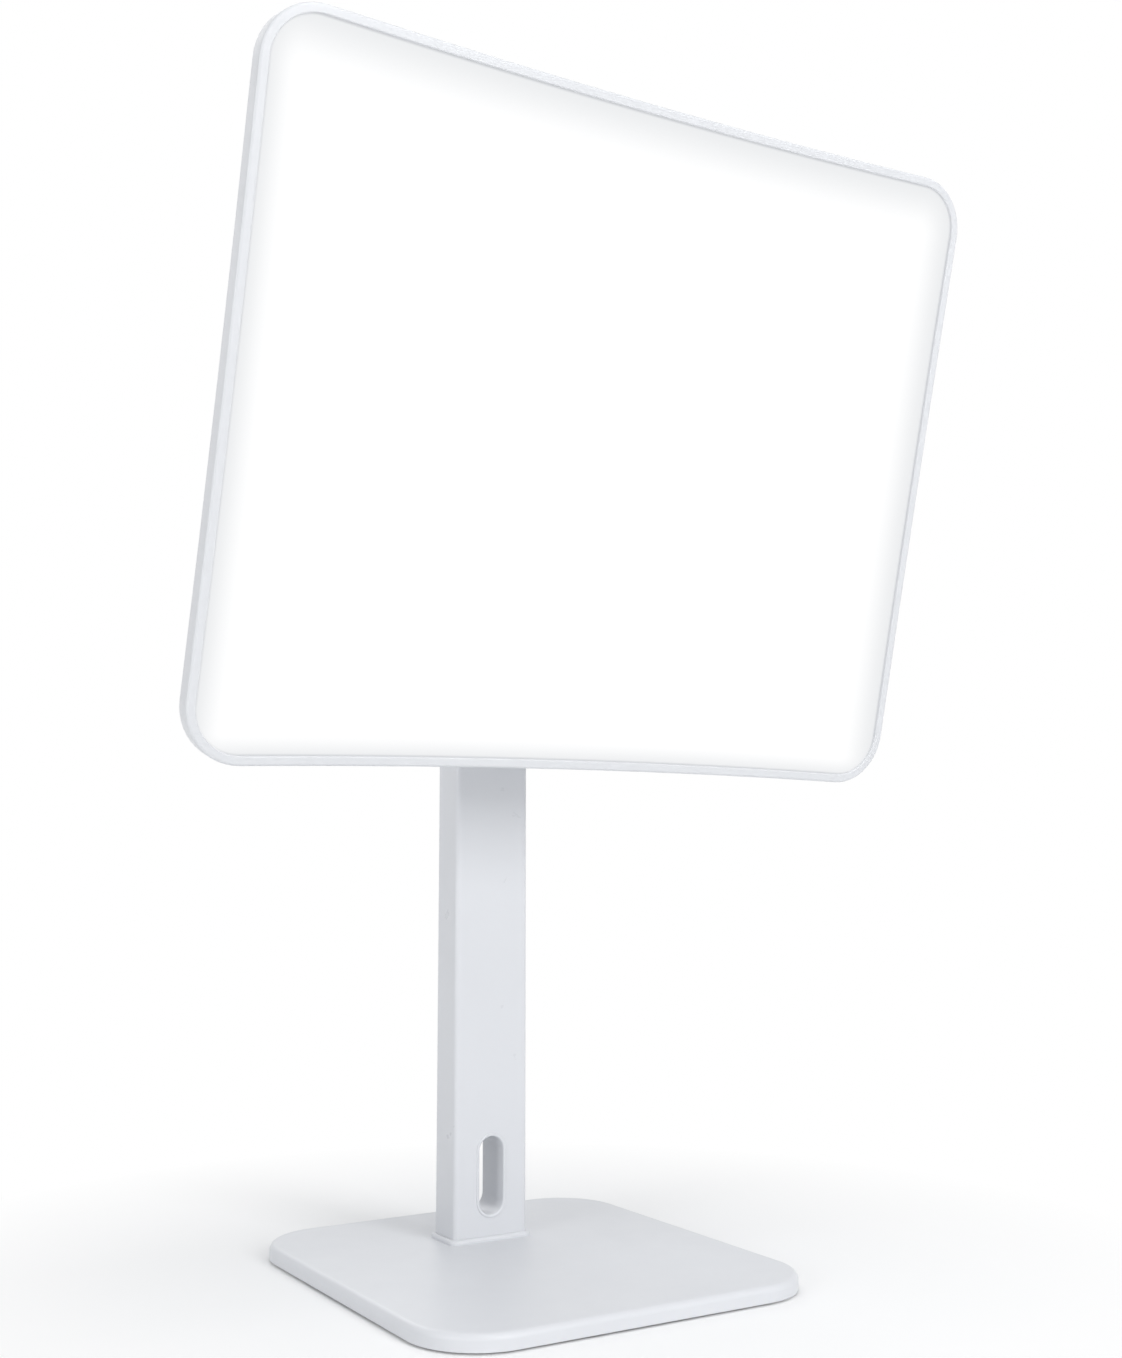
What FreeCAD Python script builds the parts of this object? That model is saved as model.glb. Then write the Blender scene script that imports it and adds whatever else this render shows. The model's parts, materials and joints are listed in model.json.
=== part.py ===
import FreeCAD, Part
import math
import os
import re

import Sketcher
from FreeCAD import Placement, Rotation, Vector

# Light therapy lamp: a square weighted base, a rectangular column, a swing arm and a tilting panel.
# X points right seen from the front, -Y points to the front, Z points up.
# The origin is the centre of the base's footprint on the table. Every size is in millimetres.

SIZES = {
    # Base
    "base_width": 205.0,
    "base_depth": 220.0,
    "base_top": 8.6,
    "base_corner": 35.0,
    "base_edge": 3.0,
    "base_wall": 2.2,
    "base_lift": 1.1,
    "pad_thick": 2.0,
    "pad_inset": 7.0,
    "cover_thick": 1.5,
    "inner_gap": 0.3,
    # Column
    "column_width": 43.2,
    "column_depth": 22.1,
    "column_y": 45.25,
    "column_edge": 2.5,
    "column_wall": 1.8,
    "column_top": 301.0,
    "collar_out": 2.3,
    "collar_tall": 2.4,
    "foot_tall": 9.0,
    "foot_screw": 2.0,
    "foot_screw_head": 3.8,
    "foot_screw_x": 13.0,
    "foot_screw_y": 4.6,
    "plug_long": 22.0,
    # Slot through the foot of the column
    "slot_width": 14.0,
    "slot_tall": 39.0,
    "slot_z": 41.0,
    "liner_wall": 1.4,
    "lip_out": 0.3,
    "lip_proud": 0.5,
    # Friction hinges
    "shoulder_z": 319.0,
    "fork_gap": 25.0,
    "fork_round": 11.05,
    "fork_base": 12.5,
    "knuckle_round": 10.5,
    "axle_round": 4.0,
    "bore_gap": 0.05,
    "washer_thick": 0.8,
    "washer_round": 8.0,
    "side_gap": 0.1,
    "well_round": 7.8,
    "well_deep": 5.0,
    "axle_head": 2.4,
    "spring_thick": 0.5,
    "nut_across": 13.0,
    "nut_thick": 2.3,
    "cap_thick": 1.4,
    "cap_proud": 0.6,
    "bush_wall": 2.0,
    # Arm
    "arm_thick": 16.0,
    "arm_edge": 1.6,
    "channel_width": 15.0,
    "channel_deep": 9.0,
    "channel_end": 16.0,
    "channel_corner": 3.0,
    "cover_gap": 0.2,
    "arm_cover_thick": 2.0,
    "arm_rib_long": 40.0,
    "arm_rib_inset": 2.0,
    "arm_rib_corner": 1.0,
    # Fork screws behind the column
    "fork_screw": 1.9,
    "fork_screw_head": 3.4,
    "fork_screw_x": 11.0,
    "fork_screw_drop": 11.0,
    "fork_screw_long": 9.0,
    # Panel: the front face's centre, its lean and its outline
    "panel_y": -86.4,
    "panel_z": 403.8,
    "panel_lean": 14.7,
    "panel_width": 400.0,
    "panel_tall": 330.5,
    "panel_corner": 27.0,
    "bow_long": 3.8,
    "bow_side": 1.0,
    "bezel_face": 4.6,
    "bezel_wall": 2.0,
    "bezel_deep": 8.9,
    "bezel_edge": 1.4,
    "bezel_lip": 0.6,
    "diffuser_set": 1.5,
    "diffuser_thick": 2.0,
    "guide_thick": 3.0,
    "guide_inset": 5.1,
    "sheet_thick": 0.4,
    "tray_thick": 1.0,
    "layer_gap": 0.2,
    "led_board_thick": 1.0,
    "led_board_wide": 3.6,
    "led_board_long": 262.0,
    "led_thick": 0.9,
    "led_long": 4.0,
    "led_wide": 2.8,
    "led_count": 18,
    # Back cover
    "back_wall": 2.0,
    "back_rim": 1.6,
    "back_slope": 14.0,
    "back_deep": 14.0,
    "back_edge": 1.5,
    "bulge_width": 210.0,
    "bulge_tall": 150.0,
    "bulge_corner": 18.0,
    "bulge_slope": 4.0,
    "bulge_deep": 22.0,
    "vent_width": 3.0,
    "vent_tall": 34.0,
    "vent_step": 7.0,
    "vent_count": 9,
    "vent_y": 49.0,
    "cover_screw": 1.5,
    "cover_screw_head": 2.9,
    "cover_screw_inset": 24.0,
    "boss_round": 3.6,
    "boss_tall": 3.0,
    # Hinge bracket behind the panel
    "hinge_deep": 40.0,
    "bracket_width": 66.0,
    "bracket_tall": 50.0,
    "bracket_plate": 4.0,
    "bracket_corner": 6.0,
    "bracket_screw": 2.0,
    "bracket_screw_head": 3.7,
    "bracket_screw_x": 27.5,
    "bracket_screw_y": 19.0,
    "bracket_screw_long": 7.0,
    # Driver board behind the tray
    "board_width": 92.0,
    "board_tall": 44.0,
    "board_thick": 1.6,
    "board_x": 0.0,
    "board_y": -46.0,
    "board_deep": 15.0,
    "post_round": 3.0,
    "board_screw": 1.2,
    "board_screw_head": 2.2,
    "board_screw_long": 4.5,
    "board_hole_inset": 4.0,
    "board_corner": 1.5,
    "board_head_tall": 1.2,
    # On the board: a coil, a controller chip, a wire socket and two upright capacitors
    "coil_x": -26.0,
    "coil_y": 6.0,
    "coil_wide": 14.0,
    "coil_deep": 14.0,
    "coil_tall": 4.5,
    "chip_x": 4.0,
    "chip_y": 12.0,
    "chip_wide": 7.0,
    "chip_deep": 9.0,
    "chip_tall": 1.6,
    "socket_x": 30.0,
    "socket_y": -8.0,
    "socket_wide": 12.0,
    "socket_deep": 7.0,
    "socket_tall": 4.5,
    "can_y": -10.0,
    "can_step": 12.0,
    "can_round": 4.0,
    "can_tall": 4.8,
    # Rocker switch
    "rocker_x": -82.0,
    "rocker_y": 22.0,
    "rocker_long": 8.8,
    "rocker_width": 11.6,
    "rocker_tip": 8.0,
    "rocker_above": 3.2,
    "rocker_below": 4.0,
    "rocker_pivot": 2.2,
    "rocker_pin": 1.2,
    "rocker_gap": 0.35,
    "housing_wall": 1.4,
    "housing_flange": 1.8,
    "flange_thick": 1.2,
    "flange_corner": 2.0,
    "flange_edge": 0.6,
    "housing_corner": 0.7,
    "housing_floor": 1.2,
    "well_corner": 0.3,
    "rocker_edge": 0.6,
    "housing_deep": 9.0,
    # Brightness button
    "button_x": -82.0,
    "button_y": -22.0,
    "button_round": 6.0,
    "button_above": 1.8,
    "button_collar": 1.2,
    "button_gap": 0.3,
    "button_travel": 0.8,
    "tact_drop": 6.8,
    "tact_square": 6.0,
    "tact_board": 18.0,
    "tact_post": 1.5,
    "tact_board_thick": 1.2,
    # DC inlet
    "inlet_x": 82.0,
    "inlet_y": -40.0,
    "inlet_round": 5.6,
    "inlet_flange": 7.2,
    "inlet_bore": 2.8,
    "inlet_pin": 1.0,
    "inlet_deep": 11.0,
    "inlet_floor": 1.5,
}

doc = FreeCAD.newDocument("Lamp")
sheet = doc.addObject("Spreadsheet::Sheet", "Sizes")
for row, (name, value) in enumerate(SIZES.items(), start=1):
    sheet.set("A%d" % row, name)
    sheet.set("B%d" % row, str(value))
    sheet.setAlias("B%d" % row, name)
doc.recompute()

X_AXIS = Vector(1, 0, 0)
Y_AXIS = Vector(0, 1, 0)
Z_AXIS = Vector(0, 0, 1)
NODES = []


def size(name):
    return float(sheet.get(name))


def bind(item, prop, text):
    """Tie a property to an expression of the sheet's names."""
    def full(word):
        return "Sizes." + word.group() if word.group() in SIZES else word.group()

    item.setExpression(prop, re.sub(r"[a-z_]+", full, text))


def number(text):
    """The value that the sheet gives an expression of its own names."""
    sheet.set("D1", "=" + text)
    sheet.recompute()
    return float(sheet.get("D1"))


def new_body(label, place=None):
    body = doc.addObject("PartDesign::Body", label)
    body.Label = label
    if place:
        body.Placement = place
    NODES.append(body)
    return body


def new_sketch(body, name, lift="0", right="0", up="0", role="XY_Plane"):
    sketch = body.newObject("Sketcher::SketchObject", body.Label + "_" + name)
    plane = next(item for item in body.Origin.OriginFeatures if item.Role == role)
    sketch.AttachmentSupport = [(plane, "")]
    sketch.MapMode = "FlatFace"
    bind(sketch, ".AttachmentOffset.Base.x", right)
    bind(sketch, ".AttachmentOffset.Base.y", up)
    bind(sketch, ".AttachmentOffset.Base.z", lift)
    return sketch


def dimension(sketch, kind, refs, text):
    index = sketch.addConstraint(Sketcher.Constraint(kind, *refs, number(text)))
    bind(sketch, "Constraints[%d]" % index, text)


def place_point(sketch, ref, right, up):
    """Fix one sketch point at two expressions, or on an axis where one of them is 0."""
    if right == "0":
        sketch.addConstraint(Sketcher.Constraint("PointOnObject", *ref, -2))
    else:
        dimension(sketch, "DistanceX", (-1, 1, *ref), right)
    if up == "0":
        sketch.addConstraint(Sketcher.Constraint("PointOnObject", *ref, -1))
    else:
        dimension(sketch, "DistanceY", (-1, 1, *ref), up)


def polygon(sketch, points):
    corners = [Vector(number(right), number(up), 0) for right, up in points]
    lines = []
    for start, end in zip(corners, corners[1:] + corners[:1]):
        lines.append(sketch.addGeometry(Part.LineSegment(start, end)))
    for line, following in zip(lines, lines[1:] + lines[:1]):
        sketch.addConstraint(Sketcher.Constraint("Coincident", line, 2, following, 1))
    for line, (right, up) in zip(lines, points):
        place_point(sketch, (line, 1), right, up)


def circles(sketch, radius, centres=(("0", "0"),)):
    for right, up in centres:
        centre = Vector(number(right), number(up), 0)
        ring = sketch.addGeometry(Part.Circle(centre, Z_AXIS, number(radius)))
        place_point(sketch, (ring, 3), right, up)
        dimension(sketch, "Radius", (ring,), radius)


def rounded_rectangle(sketch, wide, tall, corner):
    half_wide, half_tall, radius = number(wide) / 2, number(tall) / 2, number(corner)
    right, up = half_wide - radius, half_tall - radius
    ends = (
        (-right, -half_tall, right, -half_tall),
        (half_wide, -up, half_wide, up),
        (right, half_tall, -right, half_tall),
        (-half_wide, up, -half_wide, -up),
    )
    lines = [
        sketch.addGeometry(Part.LineSegment(Vector(x1, y1, 0), Vector(x2, y2, 0)))
        for x1, y1, x2, y2 in ends
    ]
    arcs = []
    for quarter, (across, along) in enumerate(((1, -1), (1, 1), (-1, 1), (-1, -1))):
        circle = Part.Circle(Vector(across * right, along * up, 0), Z_AXIS, radius)
        start = math.radians(90 * (quarter - 1))
        arcs.append(sketch.addGeometry(Part.ArcOfCircle(circle, start, start + math.pi / 2)))
    for side in range(4):
        sketch.addConstraint(Sketcher.Constraint("Tangent", lines[side], 2, arcs[side], 1))
        sketch.addConstraint(
            Sketcher.Constraint("Tangent", arcs[side], 2, lines[(side + 1) % 4], 1))
        direction = "Vertical" if side % 2 else "Horizontal"
        sketch.addConstraint(Sketcher.Constraint(direction, lines[side]))
    for arc in arcs[1:]:
        sketch.addConstraint(Sketcher.Constraint("Equal", arcs[0], arc))
    sketch.addConstraint(Sketcher.Constraint("Symmetric", lines[0], 1, lines[2], 1, -1, 1))
    dimension(sketch, "DistanceX", (lines[3], 1, lines[1], 1), wide)
    dimension(sketch, "DistanceY", (lines[0], 1, lines[2], 1), tall)
    dimension(sketch, "Radius", (arcs[0],), corner)


def stadium(sketch, wide, tall):
    """An upright slot with half-round ends, centred on the sketch's origin."""
    radius = number(wide) / 2
    up = number(tall) / 2 - radius
    right_line = sketch.addGeometry(Part.LineSegment(Vector(radius, -up, 0), Vector(radius, up, 0)))
    top = sketch.addGeometry(
        Part.ArcOfCircle(Part.Circle(Vector(0, up, 0), Z_AXIS, radius), 0, math.pi))
    left_line = sketch.addGeometry(
        Part.LineSegment(Vector(-radius, up, 0), Vector(-radius, -up, 0)))
    bottom = sketch.addGeometry(
        Part.ArcOfCircle(Part.Circle(Vector(0, -up, 0), Z_AXIS, radius), math.pi, 2 * math.pi))
    chain = (right_line, top, left_line, bottom)
    for piece, following in zip(chain, chain[1:] + chain[:1]):
        sketch.addConstraint(Sketcher.Constraint("Tangent", piece, 2, following, 1))
    sketch.addConstraint(Sketcher.Constraint("Vertical", right_line))
    sketch.addConstraint(Sketcher.Constraint("Equal", top, bottom))
    sketch.addConstraint(Sketcher.Constraint("Symmetric", top, 3, bottom, 3, -1, 1))
    dimension(sketch, "Radius", (top,), "(%s) / 2" % wide)
    dimension(sketch, "DistanceY", (bottom, 3, top, 3), "%s - (%s)" % (tall, wide))


def bow_radius(length, bow):
    half = size(length) / 2
    return (half ** 2 + size(bow) ** 2) / (2 * size(bow))


def inset_of(edge):
    """How far inside the panel's outline an edge of one of its offsets lies."""
    radius = edge.Curve.Radius
    whole = (size("panel_corner"), bow_radius("panel_width", "bow_long"),
             bow_radius("panel_tall", "bow_side"))
    return min(abs(radius - arc) for arc in whole)


def bowed_outline(sketch, inset):
    """The panel's outline moved in by a distance: four sides that bow inward and four round corners."""
    wide, tall, corner = size("panel_width") / 2, size("panel_tall") / 2, size("panel_corner")
    long_round = bow_radius("panel_width", "bow_long")
    side_round = bow_radius("panel_tall", "bow_side")
    above = tall - size("bow_long") + long_round
    beside = wide - size("bow_side") + side_round
    # The corner's centre lies at a known distance from the centres of both side arcs.
    reach_top, reach_side = long_round + corner, side_round + corner
    span = math.hypot(beside, above)
    along = (reach_top ** 2 - reach_side ** 2 + span ** 2) / (2 * span)
    across = math.sqrt(reach_top ** 2 - along ** 2)
    unit = Vector(beside / span, -above / span, 0)
    foot = Vector(0, above, 0) + unit * along
    centre = foot + Vector(-above / span, -beside / span, 0) * across
    shift = number(inset)
    to_top = math.atan2(above - centre.y, -centre.x)
    to_side = math.atan2(-centre.y, beside - centre.x)
    long_half = math.atan2(centre.x, above - centre.y)
    side_half = math.atan2(centre.y, beside - centre.x)
    arcs = (
        (beside, 0, side_round + shift, math.pi - side_half, math.pi + side_half),
        (centre.x, centre.y, corner - shift, to_side, to_top),
        (0, above, long_round + shift, -math.pi / 2 - long_half, -math.pi / 2 + long_half),
        (-centre.x, centre.y, corner - shift, math.pi - to_top, math.pi - to_side),
        (-beside, 0, side_round + shift, -side_half, side_half),
        (-centre.x, -centre.y, corner - shift, math.pi + to_side, math.pi + to_top),
        (0, -above, long_round + shift, math.pi / 2 - long_half, math.pi / 2 + long_half),
        (centre.x, -centre.y, corner - shift, -to_top, -to_side),
    )
    for x, y, radius, start, end in arcs:
        circle = Part.Circle(Vector(x, y, 0), Z_AXIS, radius)
        sketch.addGeometry(Part.ArcOfCircle(circle, start, end))


def pad(body, sketch, length, down=False, middle=False):
    feature = body.newObject("PartDesign::Pad", sketch.Name + "_pad")
    feature.Profile = sketch
    bind(feature, "Length", length)
    feature.Reversed = down
    feature.Midplane = middle
    sketch.Visibility = False
    return feature


def pocket(body, sketch, length, up=False, middle=False):
    """Cut away from the sketch: against its normal, or along it where up is set."""
    feature = body.newObject("PartDesign::Pocket", sketch.Name + "_pocket")
    feature.Profile = sketch
    bind(feature, "Length", length)
    feature.Reversed = up
    feature.Midplane = middle
    return feature


def loft(body, kind, first, second):
    feature = body.newObject("PartDesign::" + kind, first.Name + "_loft")
    feature.Profile = first
    feature.Sections = [second]
    feature.Ruled = True
    return feature


def edges_where(feature, wanted):
    """Names of the edges whose centre of mass meets a condition."""
    doc.recompute()
    shape = feature.Shape
    return ["Edge%d" % (i + 1) for i, edge in enumerate(shape.Edges) if wanted(edge)]


def round_edges(body, feature, radius, wanted, kind="Fillet"):
    names = edges_where(feature, wanted)
    rounded = body.newObject("PartDesign::" + kind, feature.Name + "_" + kind.lower())
    rounded.Base = (feature, names)
    bind(rounded, "Radius" if kind == "Fillet" else "Size", radius)
    return rounded


def turned(label, points, place):
    """A piece of revolution about its own X axis, from its profile of (along, out) points."""
    body = new_body(label, place)
    sketch = new_sketch(body, "profile")
    polygon(sketch, points)
    feature = body.newObject("PartDesign::Revolution", label + "_turn")
    feature.Profile = sketch
    feature.ReferenceAxis = (sketch, ["H_Axis"])
    feature.Angle = 360
    return body


def group(label, shapes, place=None):
    """Identical small pieces kept as one node of separate solids."""
    node = doc.addObject("Part::Feature", label)
    node.Label = label
    node.Shape = Part.makeCompound(shapes)
    if place:
        node.Placement = place
    NODES.append(node)
    return node


def at_height(z):
    return lambda edge: abs(edge.CenterOfMass.z - z) < 1e-4 and edge.BoundBox.ZLength < 1e-4


def screw(radius, head, length, head_tall):
    """A countersunk screw pointing along +Z with its head's flat face at z = 0."""
    shank = Part.makeCylinder(radius, length)
    cone = Part.makeCone(head, radius, head_tall)
    slot = Part.makeBox(head * 1.1, head * 0.26, head_tall * 0.4,
                        Vector(-head * 0.55, -head * 0.13, 0))
    cross = slot.copy()
    cross.rotate(Vector(0, 0, 0), Z_AXIS, 90)
    return shank.fuse(cone).cut(slot).cut(cross).removeSplitter()


def column_place(lift=0.0):
    return Placement(Vector(0, size("column_y"), lift), Rotation())


def panel_place():
    turn = Rotation(X_AXIS, 90 + size("panel_lean"))
    return Placement(Vector(0, size("panel_y"), size("panel_z")), turn)


PANEL = panel_place()
COLUMN = column_place()
SHOULDER = column_place(size("shoulder_z"))
HEAD = PANEL.multiply(Placement(Vector(0, 0, -size("hinge_deep")), Rotation()))
REACH = HEAD.Base - SHOULDER.Base
ARM_LONG = "sqrt((column_y - panel_y - hinge_deep * cos(panel_lean * 1deg)) ^ 2"
ARM_LONG += " + (panel_z + hinge_deep * sin(panel_lean * 1deg) - shoulder_z) ^ 2)"
ARM = Placement(SHOULDER.Base, Rotation(X_AXIS, math.degrees(math.atan2(REACH.z, REACH.y))))


def base_shell():
    body = new_body("base_shell")
    outline = new_sketch(body, "outline", "base_lift")
    rounded_rectangle(outline, "base_width", "base_depth", "base_corner")
    plate = pad(body, outline, "base_top - base_lift")
    round_edges(body, plate, "base_edge", at_height(size("base_top")))
    hollow = new_sketch(body, "hollow", "base_lift")
    rounded_rectangle(hollow, "base_width - 2 * base_wall", "base_depth - 2 * base_wall",
                      "base_corner - base_wall")
    pocket(body, hollow, "base_top - base_wall - base_lift", up=True)
    foot_holes(body, "base_top", "foot_screw + 0.1")


def foot_holes(body, top, radius):
    """The four screw holes under the column, cut down from a height."""
    sketch = new_sketch(body, "screw_holes", top, up="column_y")
    circles(sketch, radius, FOOT_SCREWS)
    return pocket(body, sketch, "base_top")


FOOT_SCREWS = tuple(
    (side + "foot_screw_x", end + "foot_screw_y") for side in ("-", "") for end in ("-", ""))


def base_layers():
    """The cover, weight plate and pad under the shell, each seated on the one above it."""
    inner = "2 * (base_wall + inner_gap)"
    layers = (
        ("base_weight_plate", "pad_thick + cover_thick", "base_top - base_wall - pad_thick - cover_thick",
         "foot_screw + 0.1"),
        ("base_bottom_cover", "pad_thick", "cover_thick", ""),
    )
    for label, bottom, tall, hole in layers:
        body = new_body(label)
        outline = new_sketch(body, "outline", bottom)
        rounded_rectangle(outline, "base_width - " + inner, "base_depth - " + inner,
                          "base_corner - base_wall - inner_gap")
        pad(body, outline, tall)
        if hole:
            cut = foot_holes(body, "base_top", hole)
            under = size("pad_thick") + size("cover_thick")
            round_edges(body, cut, "foot_screw_head - foot_screw + 0.1",
                        lambda edge: is_hole_rim(edge, under), "Chamfer")
    body = new_body("base_grip_pad")
    outline = new_sketch(body, "outline")
    rounded_rectangle(outline, "base_width - 2 * pad_inset", "base_depth - 2 * pad_inset",
                      "base_corner - pad_inset")
    pad(body, outline, "pad_thick")


def is_hole_rim(edge, z):
    return at_height(z)(edge) and isinstance(edge.Curve, Part.Circle) and edge.isClosed()


def is_ring_at(edge, y):
    return abs(edge.CenterOfMass.y - y) < 1e-4 and isinstance(edge.Curve, Part.Circle)


def column():
    body = new_body("column", COLUMN)
    outline = new_sketch(body, "outline", "base_top")
    rounded_rectangle(outline, "column_width", "column_depth", "column_edge")
    pad(body, outline, "column_top - base_top")
    bore = new_sketch(body, "bore", "column_top")
    rounded_rectangle(bore, "column_width - 2 * column_wall", "column_depth - 2 * column_wall",
                      "column_edge - column_wall / 2")
    pocket(body, bore, "column_top")
    slot = new_sketch(body, "slot", up="slot_z", role="XZ_Plane")
    stadium(slot, "slot_width + 2 * liner_wall", "slot_tall + 2 * liner_wall")
    pocket(body, slot, "2 * column_depth", middle=True)
    holes = new_sketch(body, "fork_holes", up="column_top - fork_screw_drop", role="XZ_Plane")
    circles(holes, "fork_screw + 0.1", FORK_SCREWS)
    cut = pocket(body, holes, "column_depth")
    rear = size("column_depth") / 2
    round_edges(body, cut, "fork_screw_head - fork_screw + 0.1",
                lambda edge: is_ring_at(edge, rear), "Chamfer")


FORK_SCREWS = (("-fork_screw_x", "0"), ("fork_screw_x", "0"))


def column_foot():
    body = new_body("column_foot_block", COLUMN)
    outline = new_sketch(body, "outline", "base_top")
    inside = "2 * (column_wall + 0.1)"
    rounded_rectangle(outline, "column_width - " + inside, "column_depth - " + inside,
                      "column_edge - column_wall / 2")
    pad(body, outline, "foot_tall")
    holes = new_sketch(body, "screw_holes", "base_top")
    circles(holes, "foot_screw + 0.05", FOOT_SCREWS)
    pocket(body, holes, "foot_tall - 0.8", up=True)

    body = new_body("column_collar", COLUMN)
    outline = new_sketch(body, "outline", "base_top")
    rounded_rectangle(outline, "column_width + 2 * collar_out", "column_depth + 2 * collar_out",
                      "column_edge + collar_out")
    ring = pad(body, outline, "collar_tall")
    round_edges(body, ring, "collar_tall * 0.7", at_height(size("base_top") + size("collar_tall")))
    hole = new_sketch(body, "hole", "base_top")
    rounded_rectangle(hole, "column_width + 0.1", "column_depth + 0.1", "column_edge + 0.05")
    pocket(body, hole, "collar_tall", up=True)

    start = size("pad_thick") + size("cover_thick")
    length = size("base_top") + size("foot_tall") - 1.0 - start
    one = screw(size("foot_screw"), size("foot_screw_head"), length,
                size("foot_screw_head") - size("foot_screw"))
    shapes = []
    for right, up in FOOT_SCREWS:
        copy = one.copy()
        copy.translate(Vector(number(right), number(up), start))
        shapes.append(copy)
    group("column_foot_screws", shapes, COLUMN)


def slot_liner():
    body = new_body("column_slot_liner", COLUMN)
    wall = "2 * (liner_wall - 0.1)"
    tube = new_sketch(body, "tube", up="slot_z", role="XZ_Plane")
    stadium(tube, "slot_width + " + wall, "slot_tall + " + wall)
    pad(body, tube, "column_depth + 2 * lip_proud", middle=True)
    for name, side in (("front_lip", 1), ("rear_lip", -1)):
        face = "column_depth / 2" if side > 0 else "-column_depth / 2"
        lip = new_sketch(body, name, face, up="slot_z", role="XZ_Plane")
        stadium(lip, "slot_width + 2 * (liner_wall + lip_out)", "slot_tall + 2 * (liner_wall + lip_out)")
        both = pad(body, lip, "lip_proud", down=side < 0)
    far = size("column_depth") / 2 + size("lip_proud")
    round_edges(body, both, "lip_proud * 0.9",
                lambda edge: abs(abs(edge.CenterOfMass.y) - far) < 1e-4)
    hole = new_sketch(body, "hole", up="slot_z", role="XZ_Plane")
    stadium(hole, "slot_width", "slot_tall")
    cut = pocket(body, hole, "2 * column_depth", middle=True)
    half = size("slot_width") / 2 + 0.05
    round_edges(body, cut, "liner_wall * 0.7",
                lambda edge: abs(abs(edge.CenterOfMass.y) - far) < 1e-4
                and max(abs(edge.BoundBox.XMin), abs(edge.BoundBox.XMax)) < half)


def column_fork():
    """The fork that plugs into the column's top and carries the shoulder axle."""
    body = new_body("column_fork", COLUMN)
    inside = "2 * (column_wall + 0.1)"
    plug = new_sketch(body, "plug", "column_top")
    rounded_rectangle(plug, "column_width - " + inside, "column_depth - " + inside,
                      "column_edge - column_wall / 2")
    pad(body, plug, "plug_long", down=True)
    block = new_sketch(body, "block", "column_top")
    rounded_rectangle(block, "column_width", "column_depth", "column_edge")
    pad(body, block, "shoulder_z - column_top + column_depth / 2")
    round_top = new_sketch(body, "round_top", up="shoulder_z", role="YZ_Plane")
    outside_of_arch(round_top, size("column_depth") / 2)
    pocket(body, round_top, "2 * column_width", middle=True)
    gap = new_sketch(body, "gap", up="shoulder_z", role="XZ_Plane")
    polygon(gap, (
        ("-fork_gap / 2", "-fork_base"),
        ("fork_gap / 2", "-fork_base"),
        ("fork_gap / 2", "column_depth"),
        ("-fork_gap / 2", "column_depth"),
    ))
    pocket(body, gap, "2 * column_depth", middle=True)
    fork_bores(body, "shoulder_z")
    holes = new_sketch(body, "screw_holes", up="column_top - fork_screw_drop", role="XZ_Plane")
    circles(holes, "fork_screw + 0.05", FORK_SCREWS)
    pocket(body, holes, "column_depth")


def outside_of_arch(sketch, radius):
    """What lies outside a half round: cutting it away leaves a rounded top."""
    half = Part.Circle(Vector(0, 0, 0), Z_AXIS, radius)
    sketch.addGeometry(Part.ArcOfCircle(half, 0, math.pi))
    far = 2 * radius
    points = (Vector(-radius, 0, 0), Vector(-far, 0, 0), Vector(-far, far, 0),
              Vector(far, far, 0), Vector(far, 0, 0), Vector(radius, 0, 0))
    for start, end in zip(points, points[1:]):
        sketch.addGeometry(Part.LineSegment(start, end))


def fork_bores(body, up):
    """The axle hole through both cheeks and the well in each outer face."""
    hole = new_sketch(body, "axle_hole", up=up, role="YZ_Plane")
    circles(hole, "axle_round + bore_gap")
    pocket(body, hole, "2 * column_width", middle=True)
    for name, side in (("right_well", 1), ("left_well", -1)):
        face = "column_width / 2" if side > 0 else "-column_width / 2"
        well = new_sketch(body, name, face, up=up, role="YZ_Plane")
        circles(well, "well_round")
        pocket(body, well, "well_deep", up=side < 0)


def fork_screws():
    one = screw(size("fork_screw"), size("fork_screw_head"), size("fork_screw_long"),
                size("fork_screw_head") - size("fork_screw"))
    shapes = []
    for right, up in FORK_SCREWS:
        copy = one.copy()
        copy.rotate(Vector(0, 0, 0), X_AXIS, 90)
        copy.translate(Vector(number(right), size("column_depth") / 2,
                              size("column_top") - size("fork_screw_drop")))
        shapes.append(copy)
    group("column_fork_screws", shapes, COLUMN)


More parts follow.
